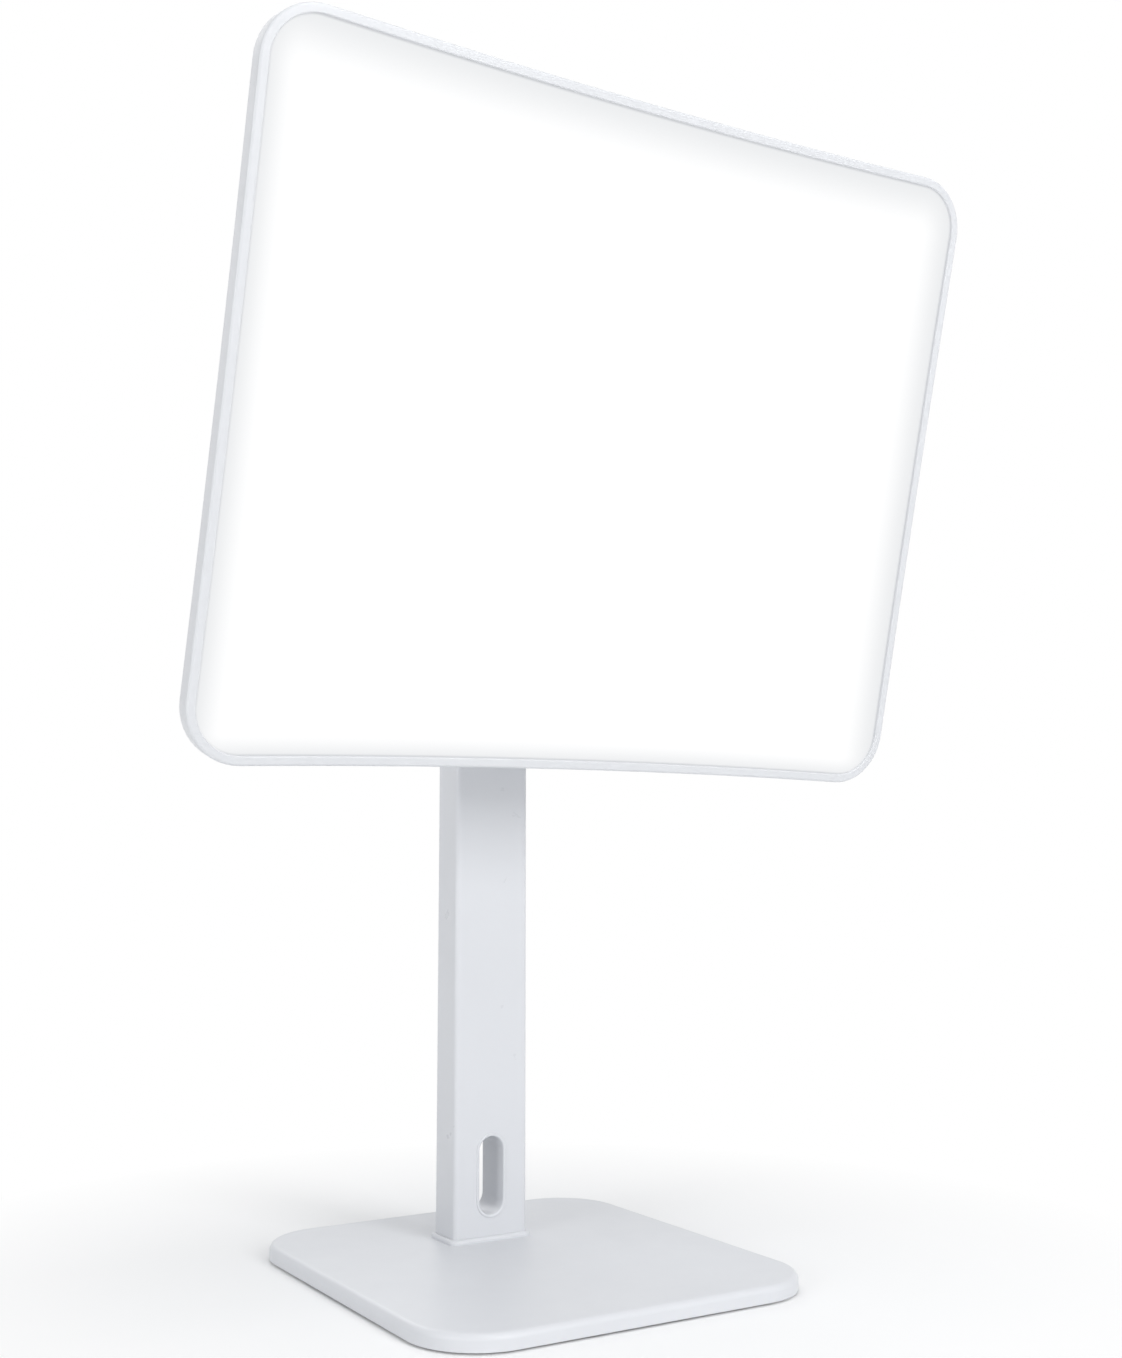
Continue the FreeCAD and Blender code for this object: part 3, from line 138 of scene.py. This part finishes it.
# The moulded, cast, painted and brushed finishes, by material slot.
MOULDED = {
    "stand_paint": dict(colour=PALE, roughness=0.32, grain=1500.0, depth=0.004 * MM, variation=0.012,
                        coat=0.30),
    "shell_plastic": dict(colour=PALE, roughness=0.40, grain=1300.0, depth=0.005 * MM, variation=0.012),
    "steel": dict(colour=(0.42, 0.43, 0.45), roughness=0.38, **BRUSHED),
    "screw_steel": dict(colour=(0.40, 0.41, 0.43), roughness=0.30, grain=900.0, depth=0.006 * MM,
                        variation=0.05, metallic=1.0),
    "cast_alloy": dict(colour=CAST, roughness=0.46, grain=900.0),
    "bearing_nylon": dict(colour=(0.78, 0.76, 0.70), roughness=0.50, grain=800.0),
    "white_film": dict(colour=(0.90, 0.90, 0.90), roughness=0.25, grain=600.0),
    "tray_alloy": dict(colour=(0.70, 0.71, 0.72), roughness=0.36, **BRUSHED),
    "led_package": dict(colour=(0.85, 0.80, 0.45), roughness=0.30, grain=900.0),
    "components": dict(colour=BLACK, roughness=0.45, grain=900.0),
    "switch_plastic": dict(colour=(0.36, 0.37, 0.40), roughness=0.46, grain=1500.0, depth=0.03 * MM),
    "socket_plastic": dict(colour=BLACK, roughness=0.48, grain=1300.0, depth=0.03 * MM),
    "contact_brass": dict(colour=(0.80, 0.60, 0.26), roughness=0.22, grain=500.0, depth=0.01 * MM,
                          variation=0.05, metallic=1.0),
}
BEZEL_RIM = dict(colour=RIM, roughness=0.36, grain=260.0, depth=0.001 * MM, variation=0.01)

# How far such a surface's roughness wanders, either way.
GLOSS_SPREAD = 0.05

# A Mix node's colour sockets, which share their names with its number sockets.
MIX_FIRST, MIX_SECOND, MIX_RESULT = 6, 7, 2


def node_tree(name):
    material = bpy.data.materials.new(name)
    material.use_nodes = True
    tree = material.node_tree
    return material, tree, tree.nodes["Principled BSDF"]


def new_node(tree, kind, **settings):
    node = tree.nodes.new(kind)
    for key, setting in settings.items():
        setattr(node, key, setting)
    return node


def noise(tree, scale, detail=4.0, roughness=0.55, stretch=(1.0, 1.0, 1.0)):
    place = new_node(tree, "ShaderNodeTexCoord")
    mapping = new_node(tree, "ShaderNodeMapping")
    mapping.inputs["Scale"].default_value = stretch
    texture = new_node(tree, "ShaderNodeTexNoise")
    texture.inputs["Scale"].default_value = scale
    texture.inputs["Detail"].default_value = detail
    texture.inputs["Roughness"].default_value = roughness
    tree.links.new(place.outputs["Object"], mapping.inputs["Vector"])
    tree.links.new(mapping.outputs["Vector"], texture.inputs["Vector"])
    return texture.outputs["Fac"]


def remap(tree, value, low, high, start=0.3, end=0.7, curve="LINEAR"):
    """Bring a value between start and end, where a noise mostly lies, to between low and high."""
    node = new_node(tree, "ShaderNodeMapRange", interpolation_type=curve)
    node.inputs["From Min"].default_value = start
    node.inputs["From Max"].default_value = end
    node.inputs["To Min"].default_value = low
    node.inputs["To Max"].default_value = high
    tree.links.new(value, node.inputs["Value"])
    return node.outputs["Result"]


def tinted(tree, value, first, second):
    mix = new_node(tree, "ShaderNodeMix", data_type="RGBA")
    mix.inputs[MIX_FIRST].default_value = (*first, 1.0)
    mix.inputs[MIX_SECOND].default_value = (*second, 1.0)
    tree.links.new(value, mix.inputs["Factor"])
    return mix.outputs[MIX_RESULT]


def multiplied(tree, first, second):
    """Two colours multiplied, such as a light and a shadow on it."""
    mix = new_node(tree, "ShaderNodeMix", data_type="RGBA", blend_type="MULTIPLY")
    mix.inputs["Factor"].default_value = 1.0
    tree.links.new(first, mix.inputs[MIX_FIRST])
    tree.links.new(second, mix.inputs[MIX_SECOND])
    return mix.outputs[MIX_RESULT]


def mixed_shader(tree, share, first, second):
    mix = new_node(tree, "ShaderNodeMixShader")
    tree.links.new(share, mix.inputs["Fac"])
    tree.links.new(first, mix.inputs[1])
    tree.links.new(second, mix.inputs[2])
    return mix.outputs["Shader"]


def bump(tree, value, strength, distance):
    node = new_node(tree, "ShaderNodeBump")
    node.inputs["Strength"].default_value = strength
    node.inputs["Distance"].default_value = distance
    tree.links.new(value, node.inputs["Height"])
    return node.outputs["Normal"]


def arithmetic(tree, operation, first, second=None):
    """One Math node between two values, each a socket or a plain number."""
    node = new_node(tree, "ShaderNodeMath", operation=operation)
    for socket, value in zip(node.inputs, (first, second)):
        if value is None:
            continue
        if isinstance(value, (int, float)):
            socket.default_value = value
        else:
            tree.links.new(value, socket)
    return node.outputs["Value"]


def seen_by(tree, *kinds):
    """One for a ray of any of these kinds, such as Camera or Glossy, and zero for the others."""
    path = new_node(tree, "ShaderNodeLightPath")
    rays = [path.outputs[f"Is {kind} Ray"] for kind in kinds]
    seen = rays[0]
    for ray in rays[1:]:
        seen = arithmetic(tree, "MAXIMUM", seen, ray)
    return seen


def shade(colour, amount):
    return tuple(min(1.0, channel * amount) for channel in colour)


def moulded(name, colour, roughness, grain, depth=0.02 * MM, variation=0.02, metallic=0.0, coat=0.0,
            stretch=(1.0, 1.0, 1.0)):
    """A moulded, cast or painted surface: a slow drift of tone, uneven gloss and a fine grain."""
    material, tree, shader = node_tree(name)
    drift = remap(tree, noise(tree, scale=9.0, detail=3.0), low=0.0, high=1.0)
    colours = tinted(tree, drift, shade(colour, 1.0 - variation), shade(colour, 1.0 + variation))
    gloss = noise(tree, scale=55.0, detail=5.0, stretch=stretch)
    uneven = remap(tree, gloss, roughness - GLOSS_SPREAD, roughness + GLOSS_SPREAD)
    texture = noise(tree, grain, detail=3.0, roughness=0.6, stretch=stretch)
    tree.links.new(colours, shader.inputs["Base Color"])
    tree.links.new(uneven, shader.inputs["Roughness"])
    tree.links.new(bump(tree, texture, strength=0.35, distance=depth), shader.inputs["Normal"])
    shader.inputs["Metallic"].default_value = metallic
    shader.inputs["Coat Weight"].default_value = coat
    shader.inputs["Coat Roughness"].default_value = 0.2
    return material


def panel_along(tree, offset, direction):
    """How far a point lies from the panel's centre in one direction of its plane."""
    node = new_node(tree, "ShaderNodeVectorMath", operation="DOT_PRODUCT")
    node.inputs[1].default_value = direction
    tree.links.new(offset, node.inputs[0])
    return node.outputs["Value"]


def bowed_half(tree, half, bow, across, across_half):
    """Half the panel's size at one place along its side, which bows inward in the middle."""
    share = arithmetic(tree, "DIVIDE", across, across_half)
    rise = arithmetic(tree, "MULTIPLY", arithmetic(tree, "MULTIPLY", share, share), bow)
    return arithmetic(tree, "ADD", rise, half - bow)


def inside_outline(tree, right, up, half_wide, half_tall):
    """Distance inwards from the panel's rounded outline."""
    past = []
    for along, half in ((right, half_wide), (up, half_tall)):
        reach = arithmetic(tree, "ABSOLUTE", along)
        past.append(arithmetic(tree, "ADD", arithmetic(tree, "SUBTRACT", reach, half), PANEL_CORNER))
    squares = [arithmetic(tree, "POWER", arithmetic(tree, "MAXIMUM", value, 0.0), 2.0) for value in past]
    round_part = arithmetic(tree, "SQRT", arithmetic(tree, "ADD", squares[0], squares[1]))
    flat_part = arithmetic(tree, "MINIMUM", arithmetic(tree, "MAXIMUM", past[0], past[1]), 0.0)
    return arithmetic(tree, "SUBTRACT", PANEL_CORNER, arithmetic(tree, "ADD", round_part, flat_part))


def opal():
    """The lit diffuser: even white, with painted shade towards each edge and a painted thin shadow at the
    bezel's lip.
    """
    material, tree, shader = node_tree("opal_lit")
    place = new_node(tree, "ShaderNodeTexCoord")
    offset = new_node(tree, "ShaderNodeVectorMath", operation="SUBTRACT")
    offset.inputs[1].default_value = PANEL_CENTRE
    tree.links.new(place.outputs["Object"], offset.inputs[0])
    right = panel_along(tree, offset.outputs["Vector"], PANEL_RIGHT)
    up = panel_along(tree, offset.outputs["Vector"], PANEL_UP)
    half_wide = bowed_half(tree, PANEL_WIDE / 2, BOW_SIDE, up, PANEL_TALL / 2)
    half_tall = bowed_half(tree, PANEL_TALL / 2, BOW_LONG, right, PANEL_WIDE / 2)
    # Painted shade: the glow darkens towards each edge, more at the top and right than at the left and
    # bottom.
    sides = ((right, half_wide, 1.0, FADE_RIGHT), (right, half_wide, -1.0, FADE_LEFT),
             (up, half_tall, 1.0, FADE_TOP), (up, half_tall, -1.0, FADE_BOTTOM))
    light = None
    for along, half, side, fade in sides:
        gap = arithmetic(tree, "SUBTRACT", half, arithmetic(tree, "MULTIPLY", along, side))
        edge = remap(tree, gap, 0.0, 1.0, BEZEL_FACE - FADE_UNDER, BEZEL_FACE + fade, "SMOOTHSTEP")
        light = edge if light is None else arithmetic(tree, "MULTIPLY", light, edge)
    depth = inside_outline(tree, right, up, half_wide, half_tall)
    lip = remap(tree, depth, 0.0, 1.0, BEZEL_FACE - LIP_UNDER, BEZEL_FACE + LIP_OVER, "SMOOTHSTEP")
    # The glow, multiplied by its painted edge shade and by the painted shadow of the bezel's lip.
    glow = multiplied(tree, tinted(tree, light, EDGE_SHADE_TINT, WHITE), tinted(tree, lip, LIP_DIM, WHITE))
    tree.links.new(glow, shader.inputs["Emission Color"])
    shader.inputs["Emission Strength"].default_value = OPAL_GLOW
    shader.inputs["Base Color"].default_value = (*OPAL_BODY, 1.0)
    shader.inputs["Roughness"].default_value = 0.45
    shader.inputs["Specular IOR Level"].default_value = 0.15
    texture = noise(tree, scale=900.0, detail=2.0)
    tree.links.new(bump(tree, texture, strength=0.12, distance=0.01 * MM), shader.inputs["Normal"])
    return material


def grip():
    """Rubber with a fine diamond tread pressed into it, made by two bands that cross."""
    material, tree, shader = node_tree("grip_rubber")
    place = new_node(tree, "ShaderNodeTexCoord")
    heights = []
    for turn in (math.radians(45.0), math.radians(-45.0)):
        mapping = new_node(tree, "ShaderNodeMapping")
        mapping.inputs["Rotation"].default_value = (0.0, 0.0, turn)
        wave = new_node(tree, "ShaderNodeTexWave", wave_type="BANDS")
        wave.inputs["Scale"].default_value = 60.0
        tree.links.new(place.outputs["Object"], mapping.inputs["Vector"])
        tree.links.new(mapping.outputs["Vector"], wave.inputs["Vector"])
        heights.append(wave.outputs["Fac"])
    tread = arithmetic(tree, "MINIMUM", heights[0], heights[1])
    tree.links.new(bump(tree, tread, strength=0.6, distance=0.4 * MM), shader.inputs["Normal"])
    drift = remap(tree, noise(tree, scale=30.0), low=0.0, high=1.0)
    tree.links.new(tinted(tree, drift, RUBBER_DARK, RUBBER_LIGHT), shader.inputs["Base Color"])
    shader.inputs["Roughness"].default_value = 0.78
    return material


def clear_acrylic():
    """The light guide: clear sheet, slightly uneven where its dots scatter the light."""
    material, tree, shader = node_tree("acrylic")
    shader.inputs["Base Color"].default_value = (*ACRYLIC_TINT, 1.0)
    shader.inputs["Transmission Weight"].default_value = 0.9
    shader.inputs["IOR"].default_value = 1.49
    dots = noise(tree, scale=500.0, detail=1.0)
    tree.links.new(remap(tree, dots, low=0.08, high=0.25), shader.inputs["Roughness"])
    return material


def board_mask():
    """Circuit board: green mask with faint copper tracks under it."""
    material, tree, shader = node_tree("circuit_board")
    place = new_node(tree, "ShaderNodeTexCoord")
    brick = new_node(tree, "ShaderNodeTexBrick")
    brick.inputs["Scale"].default_value = 260.0
    for socket, colour in (("Color1", MASK_DARK), ("Color2", MASK_LIGHT), ("Mortar", TRACK_GREEN)):
        brick.inputs[socket].default_value = (*colour, 1.0)
    tree.links.new(place.outputs["Object"], brick.inputs["Vector"])
    tree.links.new(brick.outputs["Color"], shader.inputs["Base Color"])
    drift = noise(tree, scale=120.0)
    tree.links.new(remap(tree, drift, low=0.25, high=0.4), shader.inputs["Roughness"])
    return material


def make_finishes():
    """One material for each material slot of the record."""
    finishes = {slot: moulded(slot, **settings) for slot, settings in MOULDED.items()}
    finishes.update(opal=opal(), grip_rubber=grip(), acrylic=clear_acrylic(), circuit_board=board_mask())
    return finishes


def dress_frame(finishes):
    """Give every node the finish of its slot, and the bezel a smoother one of its own."""
    for name, node in nodes.items():
        node.data.materials.clear()
        node.data.materials.append(finishes[slots[name]])
    nodes["panel_bezel"].data.materials[0] = moulded("bezel_rim", **BEZEL_RIM)


def raise_and_place(name, shape, place, body, material):
    """Give a flat mark its height, set it in its place and let it ride with its carrier."""
    lifted = bmesh.ops.extrude_face_region(shape, geom=shape.faces[:])
    top = [item for item in lifted["geom"] if isinstance(item, bmesh.types.BMVert)]
    bmesh.ops.translate(shape, verts=top, vec=(0.0, 0.0, MARK_TALL))
    bmesh.ops.recalc_face_normals(shape, faces=shape.faces[:])
    bmesh.ops.transform(shape, matrix=place, verts=shape.verts[:])
    mesh = bpy.data.meshes.new(name)
    shape.to_mesh(mesh)
    shape.free()
    mesh.materials.append(material)
    mark = bpy.data.objects.new(name, mesh)
    bpy.context.scene.collection.objects.link(mark)
    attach(mark, body)


def bar_shape(half_long, half_wide):
    """A flat bar with round ends, lying along Y: a disc whose two halves are drawn apart."""
    shape = bmesh.new()
    bmesh.ops.create_circle(shape, cap_ends=True, segments=BAR_END_SIDES, radius=half_wide)
    for side in (1.0, -1.0):
        half = [vert for vert in shape.verts if vert.co.y * side > half_wide * BAR_MIDDLE]
        bmesh.ops.translate(shape, verts=half, vec=(0.0, side * (half_long - half_wide), 0.0))
    return shape


def ring_shape(inner, outer):
    """A flat ring, grown inwards from its outer edge."""
    shape = bmesh.new()
    rim = bmesh.ops.create_circle(shape, cap_ends=False, segments=RING_SIDES, radius=outer)["verts"]
    edges = [edge for edge in shape.edges if all(vert in rim for vert in edge.verts)]
    grown = bmesh.ops.extrude_edge_only(shape, edges=edges)
    inside = [item for item in grown["geom"] if isinstance(item, bmesh.types.BMVert)]
    bmesh.ops.scale(shape, verts=inside, vec=(inner / outer, inner / outer, 1.0))
    return shape


def back_face(right, up):
    """A place on the back cover's outer face whose own Z points away from it."""
    on_panel = Matrix.Translation((right, up, -BULGE_DEEP)) @ Matrix.Rotation(math.pi, 4, "X")
    return Matrix.Translation(PANEL_CENTRE) @ Matrix.Rotation(math.pi / 2 + PANEL_LEAN, 4, "X") @ on_panel


def add_marks(finishes):
    """The plain bar and ring on the rocker, and a small ring in the dish of the button."""
    rocker = back_face(*ROCKER_PLACE) @ Matrix.Translation((0.0, 0.0, -ROCKER_PIVOT))
    rocker = rocker @ Matrix.Rotation(ROCKER_TIP, 4, "X")
    level = ROCKER_ABOVE - MARK_SUNK
    bar = rocker @ Matrix.Translation((0.0, MARK_STEP, level))
    ring = rocker @ Matrix.Translation((0.0, -MARK_STEP, level))
    dot = back_face(*BUTTON_PLACE) @ Matrix.Translation((0.0, 0.0, BUTTON_DISH - MARK_SUNK))
    for name, shape, place, body in (
        ("rocker_bar", bar_shape(BAR_HALF_LONG, BAR_HALF_WIDE), bar, "rocker"),
        ("rocker_ring", ring_shape(*ROCKER_RING), ring, "rocker"),
        ("button_dot", ring_shape(*BUTTON_RING), dot, "button"),
    ):
        raise_and_place(name, shape, place, body, finishes["white_film"])


def add_camera():
    camera = bpy.data.cameras.new("camera")
    camera.sensor_fit = "AUTO"
    camera.sensor_width = SENSOR_WIDE
    camera.lens = FOCAL_PIXELS * SENSOR_WIDE / PHOTO_TALL
    camera.shift_x = (PHOTO_WIDE / 2 - CENTRE_X) / PHOTO_TALL
    camera.shift_y = (CENTRE_Y - PHOTO_TALL / 2) / PHOTO_TALL
    camera.clip_start = CLIP_NEAR
    camera.clip_end = CLIP_FAR
    holder = bpy.data.objects.new("camera", camera)
    holder.location = CAMERA_PLACE
    holder.rotation_euler = (math.pi / 2 + CAMERA_PITCH, 0.0, -CAMERA_YAW)
    bpy.context.scene.collection.objects.link(holder)
    bpy.context.scene.camera = holder


def add_world():
    """White where the camera looks past the lamp, a plain soft level everywhere else."""
    world = bpy.data.worlds.new("world")
    world.use_nodes = True
    bpy.context.scene.world = world
    tree = world.node_tree
    tree.nodes.clear()
    backgrounds = []
    for colour, level in ((ROOM_LIGHT, ROOM_LEVEL), (WHITE, 1.0)):
        background = new_node(tree, "ShaderNodeBackground")
        background.inputs["Color"].default_value = (*colour, 1.0)
        background.inputs["Strength"].default_value = level
        backgrounds.append(background.outputs["Background"])
    both = mixed_shader(tree, seen_by(tree, "Camera", "Transmission", "Glossy"), *backgrounds)
    output = new_node(tree, "ShaderNodeOutputWorld")
    tree.links.new(both, output.inputs["Surface"])


def floor_finish():
    """Pale and matt near the lamp, and the background's white further out, as the camera sees it."""
    material, tree, shader = node_tree("floor")
    drift = remap(tree, noise(tree, scale=3.0), low=0.0, high=1.0)
    tree.links.new(tinted(tree, drift, FLOOR_DARK, FLOOR_LIGHT), shader.inputs["Base Color"])
    shader.inputs["Roughness"].default_value = 0.9
    white = new_node(tree, "ShaderNodeEmission")
    white.inputs["Color"].default_value = (*WHITE, 1.0)
    white.inputs["Strength"].default_value = 1.0
    place = new_node(tree, "ShaderNodeTexCoord")
    reach = new_node(tree, "ShaderNodeVectorMath", operation="LENGTH")
    tree.links.new(place.outputs["Object"], reach.inputs[0])
    far = remap(tree, reach.outputs["Value"], 0.0, 1.0, FLOOR_NEAR, FLOOR_FAR)
    share = arithmetic(tree, "MULTIPLY", far, seen_by(tree, "Camera", "Glossy"))
    both = mixed_shader(tree, share, shader.outputs["BSDF"], white.outputs["Emission"])
    tree.links.new(both, tree.nodes["Material Output"].inputs["Surface"])
    return material


def add_floor():
    """A plain pale floor that fades into the white background and keeps the lamp's shadow."""
    mesh = bpy.data.meshes.new("floor")
    shape = bmesh.new()
    bmesh.ops.create_circle(shape, cap_ends=True, segments=FLOOR_SIDES, radius=FLOOR_RADIUS)
    shape.to_mesh(mesh)
    shape.free()
    mesh.materials.append(floor_finish())
    floor = bpy.data.objects.new("floor", mesh)
    bpy.context.scene.collection.objects.link(floor)


def add_studio():
    """Four soft lights round the lamp: in front, to its left, above and behind."""
    for name, (place, target, wide, tall, watts) in STUDIO.items():
        light = bpy.data.lights.new(name, "AREA")
        light.shape = "RECTANGLE"
        light.size = wide
        light.size_y = tall
        light.energy = watts
        holder = bpy.data.objects.new(name, light)
        holder.location = place
        direction = Vector(target) - Vector(place)
        holder.rotation_euler = direction.to_track_quat("-Z", "Y").to_euler()
        bpy.context.scene.collection.objects.link(holder)


finishes = make_finishes()
dress_frame(finishes)
add_marks(finishes)
add_camera()
add_world()
add_floor()
add_studio()

bpy.context.scene.view_settings.view_transform = "Standard"
